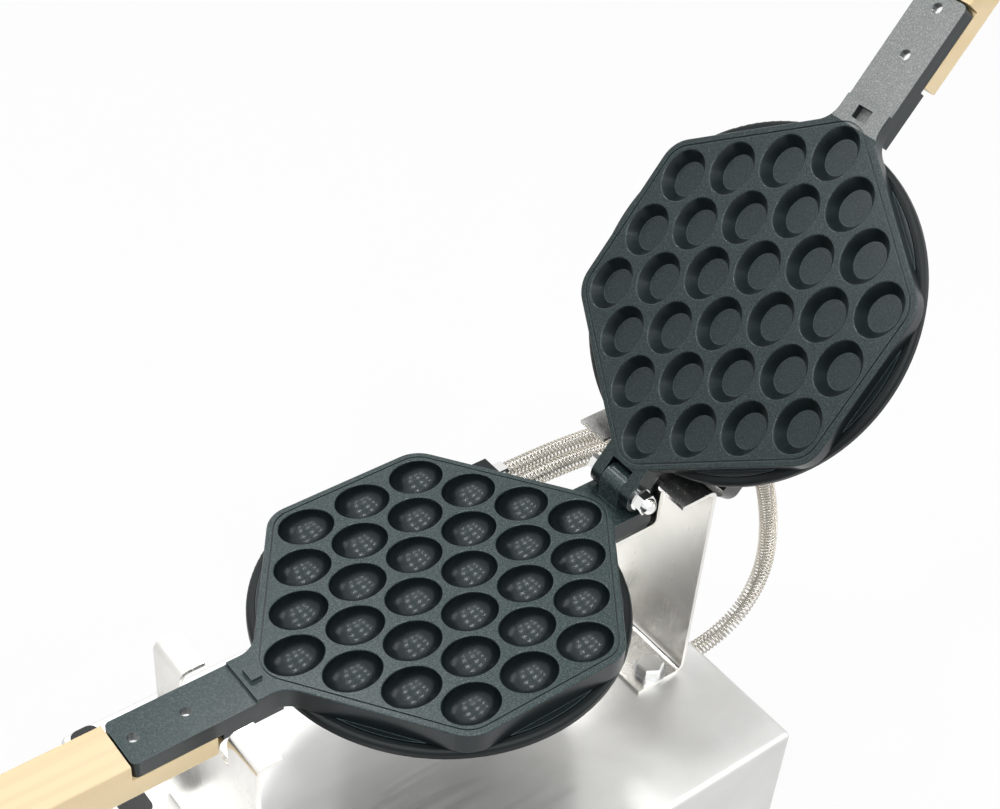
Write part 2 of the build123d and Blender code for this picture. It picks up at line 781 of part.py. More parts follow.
half_sheet = support_sheet / 2
foot_middle = base_top + half_sheet
seat_middle = parting - neck_depth - half_sheet
front_middle = front_plate_x + half_sheet
front_top = parting - front_flange_drop - half_sheet
front_bolt_x = front_plate_x + support_bolt_setback
hole_radius = support_bolt_radius + support_hole_clearance
with BuildPart() as front_support:
    foot = (front_plate_x + front_foot_length, foot_middle)
    lip = (front_plate_x + front_flange_length, front_top)
    add(bent_sheet([foot, (front_middle, foot_middle), (front_middle, front_top), lip],
                   front_support_width))
    notch_low = seat_middle - notch_relief
    with Locations((front_plate_x, 0, notch_low)):
        Box(2 * front_flange_length + 2, 2 * front_notch_half_width, parting - notch_low,
            align=(Align.CENTER, Align.CENTER, Align.MIN), mode=Mode.SUBTRACT)
    add(bent_sheet([(front_middle, notch_low - 1), (front_middle, seat_middle),
                    (front_seat_end, seat_middle)], 2 * front_seat_half_width))
    with Locations(*bolt_places(front_bolt_x, base_top)):
        Cylinder(hole_radius, 4 * support_sheet, mode=Mode.SUBTRACT)
    fillet(front_support.edges().filter_by(Axis.Z).filter_by(
        lambda e: e.length < support_sheet + 0.1 and e.center().Z < base_top + 3), support_corner_round)
save(front_support.part, "front_support")

rear_middle = rear_plate_x + half_sheet
rear_top = parting + rear_flange_rise - half_sheet
bridge_middle = parting + rear_bridge_rise - half_sheet
lug_seat_middle = parting - lug_depth - half_sheet
wall_middle = rear_seat_wall_x + half_sheet
rear_bolt_x = rear_plate_x - support_bolt_setback
with BuildPart() as rear_support:
    foot = (rear_plate_x - rear_foot_length, foot_middle)
    lip = (rear_plate_x - rear_flange_length, rear_top)
    add(bent_sheet([foot, (rear_middle, foot_middle), (rear_middle, rear_top), lip],
                   rear_support_width))
    relief_low = parting - notch_relief
    with Locations((rear_plate_x, 0, relief_low)):
        Box(2 * rear_flange_length + 2, 2 * rear_notch_half_width, 2 * rear_flange_length + 10,
            align=(Align.CENTER, Align.CENTER, Align.MIN), mode=Mode.SUBTRACT)
    add(bent_sheet([(rear_middle, relief_low - 1), (rear_middle, bridge_middle),
                    (wall_middle, bridge_middle), (wall_middle, lug_seat_middle),
                    (rear_seat_front_x, lug_seat_middle)], 2 * rear_seat_half_width))
    with Locations(*bolt_places(rear_bolt_x, base_top)):
        Cylinder(hole_radius, 4 * support_sheet, mode=Mode.SUBTRACT)
save(rear_support.part, "rear_support")

support_places = bolt_places(front_bolt_x, 0) + bolt_places(rear_bolt_x, 0)
washer_low = base_top + support_sheet
with BuildPart() as support_washers:
    with BuildSketch(Plane.XY.offset(washer_low)):
        with Locations(*[(x, y) for x, y, z in support_places]):
            Circle(support_washer_radius)
            Circle(hole_radius, mode=Mode.SUBTRACT)
    extrude(amount=support_washer_thickness)
save(support_washers.part, "support_washers")

head_low = washer_low + support_washer_thickness
nut_top = base_top - sheet
with BuildPart() as support_bolts:
    with Locations(*[(x, y, head_low) for x, y, z in support_places]):
        add(hex_prism(support_nut_across, support_head_height))
    chamfer(support_bolts.edges().group_by(Axis.Z)[-1], support_head_chamfer)
    with Locations(*[(x, y, head_low) for x, y, z in support_places]):
        Cylinder(support_bolt_radius, head_low - nut_top + support_head_height + 3,
                 align=(Align.CENTER, Align.CENTER, Align.MAX))
save(support_bolts.part, "support_bolts")

with BuildPart() as support_nuts:
    with BuildSketch(Plane.XY.offset(nut_top)):
        with Locations(*[(x, y) for x, y, z in support_places]):
            RegularPolygon(support_nut_across / 2, 6, major_radius=False)
            Circle(support_bolt_radius + hinge_bore_clearance, mode=Mode.SUBTRACT)
    extrude(amount=-support_head_height)
save(support_nuts.part, "support_nuts")

# ---- base cabinet, folded from sheet ----
window_width = base_width - 2 * frame_width
window_height = base_height - 2 * frame_width
window_middle = foot_height + base_height / 2
with BuildPart() as base_cabinet:
    with Locations((0, 0, foot_height)):
        Box(base_length, base_width, base_height, align=(Align.CENTER, Align.CENTER, Align.MIN))
    soft = base_cabinet.edges().filter_by(Axis.Z) + base_cabinet.edges().group_by(Axis.Z)[-1]
    fillet(soft, cabinet_corner_round)
    with Locations((0, 0, foot_height + sheet)):
        Box(base_length - 2 * sheet, base_width - 2 * sheet, base_height - 2 * sheet,
            align=(Align.CENTER, Align.CENTER, Align.MIN), mode=Mode.SUBTRACT)
    with Locations((0, 0, foot_height)):
        Box(base_length - 2 * bottom_rim, base_width - 2 * bottom_rim, 4 * sheet, mode=Mode.SUBTRACT)
    with Locations((0, 0, window_middle)):
        Box(base_length + 2, window_width, window_height, mode=Mode.SUBTRACT)
    with Locations(*[(x, y, base_top) for x, y, z in support_places]):
        Cylinder(hole_radius, 4 * sheet, mode=Mode.SUBTRACT)
    with Locations(*[(x, y, foot_height) for x in foot_xs for y in foot_ys]):
        Cylinder(foot_screw_radius + screw_hole_clearance, 4 * sheet, mode=Mode.SUBTRACT)
save(base_cabinet.part, "base_cabinet")

with BuildPart() as base_bottom_plate:
    with BuildSketch(Plane.XY.offset(foot_height + sheet)):
        Rectangle(base_length - 2 * sheet - 2 * panel_clearance - 2 * sheet,
                  base_width - 2 * sheet - 2 * panel_clearance)
        with Locations(*[(x, y) for x in foot_xs for y in foot_ys]):
            Circle(foot_screw_radius + screw_hole_clearance, mode=Mode.SUBTRACT)
        with GridLocations(0, vent_pitch, 1, vent_count):
            SlotOverall(vent_length, vent_width, mode=Mode.SUBTRACT)
    extrude(amount=sheet)
save(base_bottom_plate.part, "base_bottom_plate")


def end_panel(inner_face, outward):
    """A panel lapped behind the window frame at one end of the cabinet."""
    with BuildPart() as panel:
        with Locations((inner_face - outward * sheet / 2, 0, window_middle)):
            Box(sheet, window_width + 2 * panel_lap, window_height + 2 * panel_lap)
    return panel.part


with BuildPart() as base_front_panel:
    add(end_panel(front_panel_x, -1))
    with Locations(*[cross(front_panel_x, y, dial_z) for y in dial_rows]):
        Cylinder(bush_radius + screw_hole_clearance, 4 * sheet, mode=Mode.SUBTRACT)
    with Locations((front_panel_x, switch_y, dial_z)):
        Box(4 * sheet, switch_width - 2 * switch_border, switch_height - 2 * switch_border,
            mode=Mode.SUBTRACT)
    with Locations(*[cross(front_panel_x, lamp_y, z) for z in lamp_levels]):
        Cylinder(lamp_radius + screw_hole_clearance, 4 * sheet, mode=Mode.SUBTRACT)
save(base_front_panel.part, "base_front_panel")

inlet_z = window_middle - inlet_below_middle
with BuildPart() as base_rear_panel:
    add(end_panel(rear_panel_x, 1))
    with Locations(*[cross(rear_panel_x, y, rear_gland_z) for y in rear_gland_rows]):
        Cylinder(gland_thread_radius + gland_hole_clearance, 4 * sheet, mode=Mode.SUBTRACT)
    with Locations((rear_panel_x, inlet_y, inlet_z)):
        Box(4 * sheet, inlet_width + 2 * panel_clearance, inlet_height + 2 * panel_clearance,
            mode=Mode.SUBTRACT)
    with Locations(*[cross(rear_panel_x, y, inlet_z) for y in inlet_screw_rows]):
        Cylinder(inlet_screw_radius + screw_hole_clearance, 4 * sheet, mode=Mode.SUBTRACT)
    with Locations(*[(rear_panel_x, vent_y, inlet_z + step * vent_pitch) for step in range(-2, 3)]):
        Box(4 * sheet, vent_length, vent_width, mode=Mode.SUBTRACT)
save(base_rear_panel.part, "base_rear_panel")

# ---- feet and their screws ----
foot_places = [(x, y) for x in foot_xs for y in foot_ys]
with BuildPart() as rubber_feet:
    for x, y in foot_places:
        with Locations((x, y, 0)):
            Cone(foot_radius - foot_taper, foot_radius, foot_height,
                 align=(Align.CENTER, Align.CENTER, Align.MIN))
            Cylinder(foot_screw_head_radius + screw_hole_clearance, foot_recess,
                     align=(Align.CENTER, Align.CENTER, Align.MIN), mode=Mode.SUBTRACT)
            Cylinder(foot_screw_radius + screw_hole_clearance, foot_height,
                     align=(Align.CENTER, Align.CENTER, Align.MIN), mode=Mode.SUBTRACT)
    fillet(rubber_feet.edges().group_by(Axis.Z)[0].filter_by(
        lambda e: e.radius > foot_screw_head_radius + 1), foot_edge_round)
save(rubber_feet.part, "rubber_feet")

with BuildPart() as foot_screws:
    for x, y in foot_places:
        with Locations((x, y, foot_recess)):
            Cylinder(foot_screw_head_radius, foot_screw_head_height,
                     align=(Align.CENTER, Align.CENTER, Align.MAX))
            Cylinder(foot_screw_radius, foot_height - foot_recess + foot_screw_reach,
                     align=(Align.CENTER, Align.CENTER, Align.MIN))
        with Locations((x, y, foot_height + 2 * sheet)):
            add(hex_prism(foot_nut_across, foot_nut_height))
save(foot_screws.part, "foot_screws")

# ---- blank label plate on the base ----
with BuildPart() as label_plate:
    with BuildSketch(Plane.XY.offset(base_top)):
        with Locations((-base_length / 2 + label_edge_gap + label_width / 2,
                        base_width / 2 - label_end_gap - label_length / 2)):
            RectangleRounded(label_width, label_length, label_round)
    extrude(amount=label_thickness)
    fillet(label_plate.edges().group_by(Axis.Z)[-1], label_edge_round)
save(label_plate.part, "label_plate")


# ---- dials on the front panel ----
def dial(y):
    """Body, spindle and knob of one dial, in that order."""
    inward = Plane(origin=(front_panel_x + sheet, y, dial_z), x_dir=(0, 1, 0), z_dir=(1, 0, 0))
    spindle_tip = -sheet - spindle_reach
    spindle_root = control_body_depth - control_end_wall - spindle_end_gap
    with BuildPart() as body:
        with BuildSketch(inward):
            Circle(control_body_radius)
        extrude(amount=control_body_depth)
        with BuildSketch(inward):
            Circle(bush_radius)
        extrude(amount=-sheet)
        with BuildSketch(inward.offset(collar_depth)):
            Circle(collar_radius + collar_clearance)
        extrude(amount=collar_thickness + 2 * collar_clearance, mode=Mode.SUBTRACT)
        with BuildSketch(inward.offset(-sheet)):
            Circle(spindle_radius + spindle_clearance)
        extrude(amount=sheet + control_body_depth - control_end_wall, mode=Mode.SUBTRACT)
    with BuildPart() as spindle:
        with BuildSketch(inward.offset(collar_depth + collar_clearance)):
            Circle(collar_radius)
        extrude(amount=collar_thickness)
        with BuildSketch(inward.offset(spindle_root)):
            Circle(spindle_radius)
        extrude(amount=spindle_tip - spindle_root)
        with BuildSketch(inward.offset(spindle_tip)):
            with Locations((0, spindle_flat + spindle_radius)):
                Rectangle(3 * spindle_radius, 2 * spindle_radius)
        extrude(amount=spindle_flat_length, mode=Mode.SUBTRACT)
    with BuildPart() as knob:
        with BuildSketch(inward.offset(-sheet - knob_clearance)):
            Circle(knob_radius)
        extrude(amount=-knob_skirt_height)
        with BuildSketch(inward.offset(-sheet - knob_clearance - knob_skirt_height)):
            Circle(knob_grip_radius)
        extrude(amount=-(knob_height - knob_skirt_height), taper=knob_taper)
        with BuildSketch(inward.offset(-sheet - knob_clearance - knob_height)):
            with Locations((0, knob_grip_radius / 2 + 1)):
                Rectangle(knob_mark_width, knob_grip_radius)
        extrude(amount=knob_mark_depth, mode=Mode.SUBTRACT)
        skirt = knob.edges().filter_by(GeomType.CIRCLE).filter_by(lambda e: e.radius > knob_radius - 1)
        fillet(skirt.sort_by(Axis.X)[0], knob_edge_round)
        with BuildSketch(inward.offset(spindle_tip - knob_bore_end)):
            Circle(spindle_radius + spindle_clearance)
            with Locations((0, spindle_flat + spindle_clearance + spindle_radius)):
                Rectangle(3 * spindle_radius, 2 * spindle_radius, mode=Mode.SUBTRACT)
        extrude(amount=spindle_flat_length, mode=Mode.SUBTRACT)
        with BuildSketch(inward.offset(-sheet - knob_clearance)):
            Circle(bush_radius + 1)
        extrude(amount=-knob_recess, mode=Mode.SUBTRACT)
    return body.part, spindle.part, knob.part


for dial_name, dial_y in (("thermostat", thermostat_y), ("timer", timer_y)):
    dial_body, dial_spindle, dial_knob = dial(dial_y)
    save(dial_body, dial_name + "_body")
    save(dial_spindle, dial_name + "_spindle")
    save(dial_knob, dial_name + "_knob")

# ---- rocker switch ----
pivot_x = front_panel_x + rocker_pivot_depth
window_half_y = switch_width / 2 - switch_border
window_half_z = switch_height / 2 - switch_border
rocker_half = window_half_z - rocker_clearance
with BuildPart() as switch_housing:
    with Locations((front_panel_x - switch_bezel / 2, switch_y, dial_z)):
        Box(switch_bezel, switch_width, switch_height)
    fillet(switch_housing.edges().filter_by(Axis.X), 2)
    with Locations((front_panel_x + switch_depth / 2, switch_y, dial_z)):
        Box(switch_depth, 2 * window_half_y - panel_clearance, 2 * window_half_z - panel_clearance)
    with Locations((front_panel_x - switch_bezel, switch_y, dial_z)):
        Box(switch_bezel + switch_depth - 4, 2 * rocker_window_half, 2 * rocker_half + 2 * rocker_gap,
            align=(Align.MIN, Align.CENTER, Align.CENTER), mode=Mode.SUBTRACT)
    with Locations(Location((pivot_x, switch_y, dial_z), (90, 0, 0))):
        Cylinder(rocker_pin_radius + spindle_clearance, 2 * (rocker_window_half + rocker_pin_length),
                 mode=Mode.SUBTRACT)
save(switch_housing.part, "switch_housing")

with BuildPart() as switch_rocker:
    with BuildSketch(Plane.XZ.offset(-switch_y)):
        with Locations((pivot_x, dial_z)):
            Circle(rocker_half)
        with BuildLine():
            Polyline((pivot_x + rocker_back, dial_z - 2 * rocker_half),
                     (pivot_x + rocker_back, dial_z + 2 * rocker_half),
                     (pivot_x - rocker_end_depth, dial_z + rocker_half),
                     (pivot_x - rocker_middle_depth, dial_z),
                     (pivot_x - rocker_end_depth, dial_z - rocker_half), close=True)
        make_face(mode=Mode.INTERSECT)
    extrude(amount=rocker_window_half - rocker_gap, both=True)
    with Locations(Location((pivot_x, switch_y, dial_z), (90, 0, 0))):
        Cylinder(rocker_pin_radius, 2 * (rocker_window_half + rocker_pin_length - rocker_gap))
rocker_axis = Axis((pivot_x, switch_y, dial_z), (0, 1, 0))
save(switch_rocker.part.rotate(rocker_axis, -rocker_angle), "switch_rocker")

# ---- lamps ----
for lamp_name, lamp_z in zip(("power_lamp", "heating_lamp"), lamp_levels):
    with BuildPart() as lamp:
        with Locations(cross(front_panel_x, lamp_y, lamp_z)):
            Cylinder(lamp_radius, lamp_body_length, align=(Align.CENTER, Align.CENTER, Align.MIN))
            Cylinder(lamp_radius + lamp_rim, lamp_rim_height,
                     align=(Align.CENTER, Align.CENTER, Align.MAX))
        with Locations((front_panel_x - lamp_rim_height, lamp_y, lamp_z)):
            Sphere(lamp_radius)
    save(lamp.part, lamp_name)

# ---- power inlet ----
with BuildPart() as power_inlet:
    with Locations((rear_panel_x, inlet_y, inlet_z)):
        Box(inlet_depth, inlet_width, inlet_height, align=(Align.MAX, Align.CENTER, Align.CENTER))
        Box(inlet_flange, inlet_width + 2 * inlet_flange_over, inlet_height + inlet_flange_rise,
            align=(Align.MIN, Align.CENTER, Align.CENTER))
    flange_corners = power_inlet.edges().filter_by(Axis.X).filter_by(lambda e: e.length < inlet_flange + 0.1)
    fillet(flange_corners, inlet_corner_round)
    with Locations((rear_panel_x + inlet_flange, inlet_y, inlet_z)):
        Box(inlet_recess, inlet_width - 2 * inlet_wall, inlet_height - 2 * inlet_wall,
            align=(Align.MAX, Align.CENTER, Align.CENTER), mode=Mode.SUBTRACT)
    pin_x = rear_panel_x + inlet_flange - inlet_recess - 1
    side_pins = [(pin_x, inlet_y + side * inlet_pin_pitch, inlet_z - inlet_pin_offset) for side in (-1, 1)]
    with Locations(*side_pins, (pin_x, inlet_y, inlet_z + inlet_pin_offset)):
        Box(inlet_pin_length + 1, inlet_pin_thickness, inlet_pin_width,
            align=(Align.MIN, Align.CENTER, Align.CENTER))
    with Locations(*[cross(rear_panel_x, y, inlet_z) for y in inlet_screw_rows]):
        Cylinder(inlet_screw_radius + screw_hole_clearance, 4 * inlet_flange, mode=Mode.SUBTRACT)
save(power_inlet.part, "power_inlet")

with BuildPart() as inlet_screws:
    for y in inlet_screw_rows:
        with Locations(cross(rear_panel_x + inlet_flange, y, inlet_z)):
            Cylinder(2 * inlet_screw_radius, inlet_screw_head_height,
                     align=(Align.CENTER, Align.CENTER, Align.MIN))
            Cylinder(inlet_screw_radius, inlet_screw_reach,
                     align=(Align.CENTER, Align.CENTER, Align.MAX))
save(inlet_screws.part, "inlet_screws")

terminal_top = foot_height + 2 * sheet + terminal_height
with BuildPart() as terminal_block:
    with Locations((terminal_x, 0, foot_height + 2 * sheet)):
        Box(terminal_width, terminal_length, terminal_height,
            align=(Align.CENTER, Align.CENTER, Align.MIN))
    fillet(terminal_block.edges().filter_by(Axis.Z), terminal_round)
    with Locations(*[(terminal_x, row, terminal_top) for row in terminal_rows]):
        Cylinder(terminal_hole_radius, terminal_height / 2,
                 align=(Align.CENTER, Align.CENTER, Align.MAX), mode=Mode.SUBTRACT)
save(terminal_block.part, "terminal_block")


# ---- glands and conduits ----
def gland(place, reach=gland_wall_reach):
    """Hex collar outside and thread through the wall by reach; outward is the place's Z."""
    with BuildPart() as fitting:
        with Locations(place):
            add(hex_prism(gland_across, gland_height))
            Cylinder(gland_thread_radius, reach,
                     align=(Align.CENTER, Align.CENTER, Align.MAX))
            Cylinder(conduit_inner_radius, 4 * gland_wall_reach, mode=Mode.SUBTRACT)
    return fitting.part


def lock_nut(place, wall):
    """A nut inside the wall, on the thread of a gland."""
    with BuildPart() as nut:
        with Locations(place):
            with Locations((0, 0, -wall)):
                Cylinder(gland_across / 2, gland_nut_height,
                         align=(Align.CENTER, Align.CENTER, Align.MAX))
                Cylinder(gland_thread_radius + hinge_bore_clearance, 3 * gland_nut_height,
                         mode=Mode.SUBTRACT)
    return nut.part


def conduit(points):
    """A hose along straight runs and bends, from one gland face to another."""
    with BuildPart() as hose:
        with BuildLine() as route:
            FilletPolyline(*points, radius=conduit_bend)
        with BuildSketch(Plane(route.line @ 0, z_dir=route.line % 0)):
            Circle(conduit_radius)
            Circle(conduit_inner_radius, mode=Mode.SUBTRACT)
        sweep()
    section = math.pi * (conduit_radius ** 2 - conduit_inner_radius ** 2)
    print("conduit", hose.part.volume, section * sum(e.length for e in route.edges()), "bend", conduit_bend)
    return hose.part


rear_places = [cross(rear_panel_x, y, rear_gland_z) for y in rear_gland_rows]
with BuildPart() as rear_glands:
    for place in rear_places:
        add(gland(place))
save(rear_glands.part, "rear_glands")
with BuildPart() as rear_gland_nuts:
    for place in rear_places:
        add(lock_nut(place, sheet))
save(rear_gland_nuts.part, "rear_gland_nuts")

lower_places = [cross(lower_boss_face, y, lower_gland_z) for y in lower_gland_rows]
with BuildPart() as lower_pan_glands:
    for place in lower_places:
        add(gland(place))
save(lower_pan_glands.part, "lower_pan_glands")

upper_place = Location((upper_gland_x, upper_gland_y, cover_low), (180, 0, 0))
upper_reach = cover_wall + gland_nut_height + gland_thread_end
save(lid_piece(gland(upper_place, upper_reach)), "upper_pan_gland")
save(lid_piece(lock_nut(upper_place, cover_wall)), "upper_gland_nut")

rear_face = rear_panel_x + gland_height
lower_start = lower_boss_face + gland_height
lower_end = (rear_face, rear_gland_rows[1], rear_gland_z)
lower_run = (lower_start + 40, lower_gland_rows[0], lower_gland_z)
lower_route = [(lower_start, lower_gland_rows[0], lower_gland_z), lower_run,
               (rear_face + 14, 48, parting - 30), (rear_face + 29, 45, parting - 72),
               (rear_face + 32, 42, parting - 98), (rear_face + 23, 40, rear_gland_z), lower_end]
save(conduit(lower_route), "lower_heater_conduit")

sensor_end = (rear_face, rear_gland_rows[2], rear_gland_z)
sensor_run = (lower_start + 43, lower_gland_rows[1], lower_gland_z)
sensor_route = [(lower_start, lower_gland_rows[1], lower_gland_z), sensor_run,
                (rear_face + 20, 63, parting - 32), (rear_face + 36, 63, parting - 72),
                (rear_face + 38, 62, parting - 104), (rear_face + 28, 62, rear_gland_z), sensor_end]
save(conduit(sensor_route), "sensor_conduit")

lid_angle = math.radians(lid_open_angle)
gland_tip = 2 * (parting + parting_gap / 2) - cover_low + gland_height
tip_dx = upper_gland_x - hinge_x
tip_dz = gland_tip - hinge_z
start_x = hinge_x + tip_dx * math.cos(lid_angle) + tip_dz * math.sin(lid_angle)
start_z = hinge_z - tip_dx * math.sin(lid_angle) + tip_dz * math.cos(lid_angle)
first_run = 26.0
run_x = start_x + first_run * math.sin(lid_angle)
run_z = start_z + first_run * math.cos(lid_angle)
upper_route = [(start_x, upper_gland_y, start_z), (run_x, upper_gland_y, run_z),
               (rear_face + 47, upper_gland_y, parting - 50), (rear_face + 52, upper_gland_y, parting - 98),
               (rear_face + 29, upper_gland_y, rear_gland_z), (rear_face, upper_gland_y, rear_gland_z)]
save(conduit(upper_route), "upper_heater_conduit")
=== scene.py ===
import math

import bmesh
import bpy
from mathutils import Matrix, Vector


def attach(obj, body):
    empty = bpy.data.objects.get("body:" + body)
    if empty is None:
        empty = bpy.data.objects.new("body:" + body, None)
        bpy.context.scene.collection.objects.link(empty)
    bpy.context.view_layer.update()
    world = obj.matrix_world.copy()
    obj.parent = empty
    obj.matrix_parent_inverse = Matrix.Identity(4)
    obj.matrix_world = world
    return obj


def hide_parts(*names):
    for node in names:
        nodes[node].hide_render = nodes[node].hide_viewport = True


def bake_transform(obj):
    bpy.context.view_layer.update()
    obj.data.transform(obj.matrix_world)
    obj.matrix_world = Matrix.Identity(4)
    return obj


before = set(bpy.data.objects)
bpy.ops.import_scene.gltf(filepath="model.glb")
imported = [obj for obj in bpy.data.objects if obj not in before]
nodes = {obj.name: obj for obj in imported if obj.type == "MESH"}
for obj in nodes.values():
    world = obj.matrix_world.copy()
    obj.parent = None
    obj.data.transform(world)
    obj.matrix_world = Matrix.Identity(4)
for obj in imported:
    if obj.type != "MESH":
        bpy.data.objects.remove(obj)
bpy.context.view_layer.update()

# where the object's own parts lie, in metres
layout = {
    "parting": 0.2715,                         # face of the lower pan
    "partingGap": 0.0003,                      # between the two faces when shut
    "hinge": Vector((0.108, 0.0, 0.2798)),
    "lidOpen": math.radians(128.3),            # upper pan's swing, shut to open
    "neckStart": -0.0945,                      # shut upper pan, along X
    "rearFace": 0.1578,                        # outer face of the rear glands
    "rearGlandHeight": 0.142,
}
white = (1, 1, 1, 1)


def newMaterial(name):
    material = bpy.data.materials.new(name)
    material.use_nodes = True
    tree = material.node_tree
    return material, tree, tree.nodes["Principled BSDF"]


def link(tree, source, out, sink, into):
    tree.links.new(source.outputs[out], sink.inputs[into])


def mathNode(tree, operation, *values):
    # each value is a number, or a pair of a node and its output
    node = tree.nodes.new("ShaderNodeMath")
    node.operation = operation
    for place, value in enumerate(values):
        if isinstance(value, tuple):
            link(tree, *value, node, place)
        else:
            node.inputs[place].default_value = value
    return node


def dotNode(tree, source, out, direction=None):
    # how far a vector reaches along a direction
    node = tree.nodes.new("ShaderNodeVectorMath")
    node.operation = "DOT_PRODUCT"
    link(tree, source, out, node, 0)
    if direction is not None:
        node.inputs[1].default_value = direction
    return node


def objectCoords(tree, scale=(1, 1, 1), turn=(0, 0, 0)):
    coords = tree.nodes.new("ShaderNodeTexCoord")
    mapping = tree.nodes.new("ShaderNodeMapping")
    mapping.inputs["Scale"].default_value = scale
    mapping.inputs["Rotation"].default_value = turn
    link(tree, coords, "Object", mapping, "Vector")
    return mapping


def noise(tree, coords, scale, detail, roughness=0.55):
    texture = tree.nodes.new("ShaderNodeTexNoise")
    texture.inputs["Scale"].default_value = scale
    texture.inputs["Detail"].default_value = detail
    texture.inputs["Roughness"].default_value = roughness
    link(tree, coords, "Vector", texture, "Vector")
    return texture


def ramp(tree, source, stops, out=0):
    colours = tree.nodes.new("ShaderNodeValToRGB")
    link(tree, source, out, colours, "Fac")
    elements = colours.color_ramp.elements
    while len(elements) < len(stops):
        elements.new(0.5)
    for element, (where, colour) in zip(elements, stops):
        element.position = where
        element.color = (*colour, 1)
    return colours


def drifting(tree, clouds, one, other, start=0.3, end=0.7):
    # from one colour to the other as the clouds thicken
    return ramp(tree, clouds, [(start, one), (end, other)])


def relief(tree, shader, source, strength, distance):
    lumps = tree.nodes.new("ShaderNodeBump")
    lumps.inputs["Strength"].default_value = strength
    lumps.inputs["Distance"].default_value = distance
    link(tree, source, 0, lumps, "Height")
    link(tree, lumps, "Normal", shader, "Normal")
    return lumps


def grey(value):
    return (value, value, value)


def lifted(colour, factor):
    return tuple(min(1.0, part * factor) for part in colour)


def blended(one, other, share):
    return tuple(a + (b - a) * share for a, b in zip(one, other))


def flatColour(tree, colour):
    plain = tree.nodes.new("ShaderNodeRGB")
    plain.outputs[0].default_value = (*colour, 1)
    return plain


def blendColours(tree, mask, one, other, first="Color"):
    # mask is a node, or one share for the whole surface
    mix = tree.nodes.new("ShaderNodeMix")
    mix.data_type = "RGBA"
    if isinstance(mask, float):
        mix.inputs[0].default_value = mask
    else:
        link(tree, mask, 0, mix, 0)
    link(tree, one, first, mix, 6)
    link(tree, other, "Color", mix, 7)
    return mix


camera = {
    "place": (-0.3531, -0.4440, 0.8485),
    "azimuth": -40.50,
    "elevation": 39.53,
    "roll": 4.84,
    "lens": 62.56,
    "sensor": 36.0,
    "farthest": 30,
}


def makeCamera():
    data = bpy.data.cameras.new("studioCamera")
    data.lens = camera["lens"]
    data.sensor_width = camera["sensor"]
    data.clip_end = camera["farthest"]
    thing = bpy.data.objects.new("studioCamera", data)
    bpy.context.scene.collection.objects.link(thing)
    turn = Matrix.Rotation(math.radians(camera["azimuth"]), 4, "Z")
    tilt = Matrix.Rotation(math.radians(90 - camera["elevation"]), 4, "X")
    roll = Matrix.Rotation(math.radians(camera["roll"]), 4, "Z")
    thing.matrix_world = Matrix.Translation(camera["place"]) @ turn @ tilt @ roll
    bpy.context.scene.camera = thing


ceiling = {
    "rows": 3,
    "perRow": 4,
    "pitch": 1.15,
    "panel": 0.24,
    "height": 2.3,
    "centre": (-0.50, -0.55),
    "watts": 5.2,
    "gleamWatts": 3.5,                         # light that only shiny surfaces show
}
sideLamp = {"place": (1.6, -1.1, 1.0), "size": 1.0, "watts": 8.0}
backLamp = {"place": (0.3, 1.9, 1.2), "size": 1.2, "watts": 5.0}
lampTarget = Vector((0.05, 0.0, 0.28))         # all lamps face this point


def areaLamp(name, place, size, watts, gleamOnly=False):
    data = bpy.data.lights.new(name, "AREA")
    data.size = size
    data.energy = watts
    thing = bpy.data.objects.new(name, data)
    thing.visible_diffuse = not gleamOnly
    bpy.context.scene.collection.objects.link(thing)
    facing = (lampTarget - Vector(place)).to_track_quat("-Z", "Y")
    thing.matrix_world = Matrix.Translation(place) @ facing.to_matrix().to_4x4()


def fromMiddle(number, count):
    return (number - (count - 1) / 2) * ceiling["pitch"]


def makeLamps():
    for row in range(ceiling["rows"]):
        for column in range(ceiling["perRow"]):
            x = ceiling["centre"][0] + fromMiddle(row, ceiling["rows"])
            y = ceiling["centre"][1] + fromMiddle(column, ceiling["perRow"])
            place = (x, y, ceiling["height"])
            areaLamp(f"panel{row}{column}", place, ceiling["panel"], ceiling["watts"])
            areaLamp(f"gleam{row}{column}", place, ceiling["panel"], ceiling["gleamWatts"], gleamOnly=True)
    areaLamp("sideLamp", **sideLamp)
    areaLamp("backLamp", **backLamp)


sky = {"colour": (0.93, 0.97, 1.0, 1), "strength": 0.20}


def makeWorld():
    # a faint sky lights the object, while the camera, metal and glass see white
    world = bpy.data.worlds.new("studio")
    world.use_nodes = True
    bpy.context.scene.world = world
    tree = world.node_tree
    faint = tree.nodes["Background"]
    faint.inputs["Color"].default_value = sky["colour"]
    faint.inputs["Strength"].default_value = sky["strength"]
    bright = tree.nodes.new("ShaderNodeBackground")
    bright.inputs["Color"].default_value = white
    bright.inputs["Strength"].default_value = 1.0
    path = tree.nodes.new("ShaderNodeLightPath")
    clear = mathNode(tree, "MAXIMUM", (path, "Is Camera Ray"), (path, "Is Transmission Ray"))
    seen = mathNode(tree, "MAXIMUM", (clear, 0), (path, "Is Glossy Ray"))
    mix = tree.nodes.new("ShaderNodeMixShader")
    link(tree, seen, 0, mix, 0)
    link(tree, faint, 0, mix, 1)
    link(tree, bright, 0, mix, 2)
    link(tree, mix, 0, tree.nodes["World Output"], 0)


floorPaint = {
    "size": 9,
    "colour": (0.94, 0.94, 0.94, 1),
    "roughness": 0.9,
    "whiteShare": 0.90,                        # the rest keeps the object's shadow
}


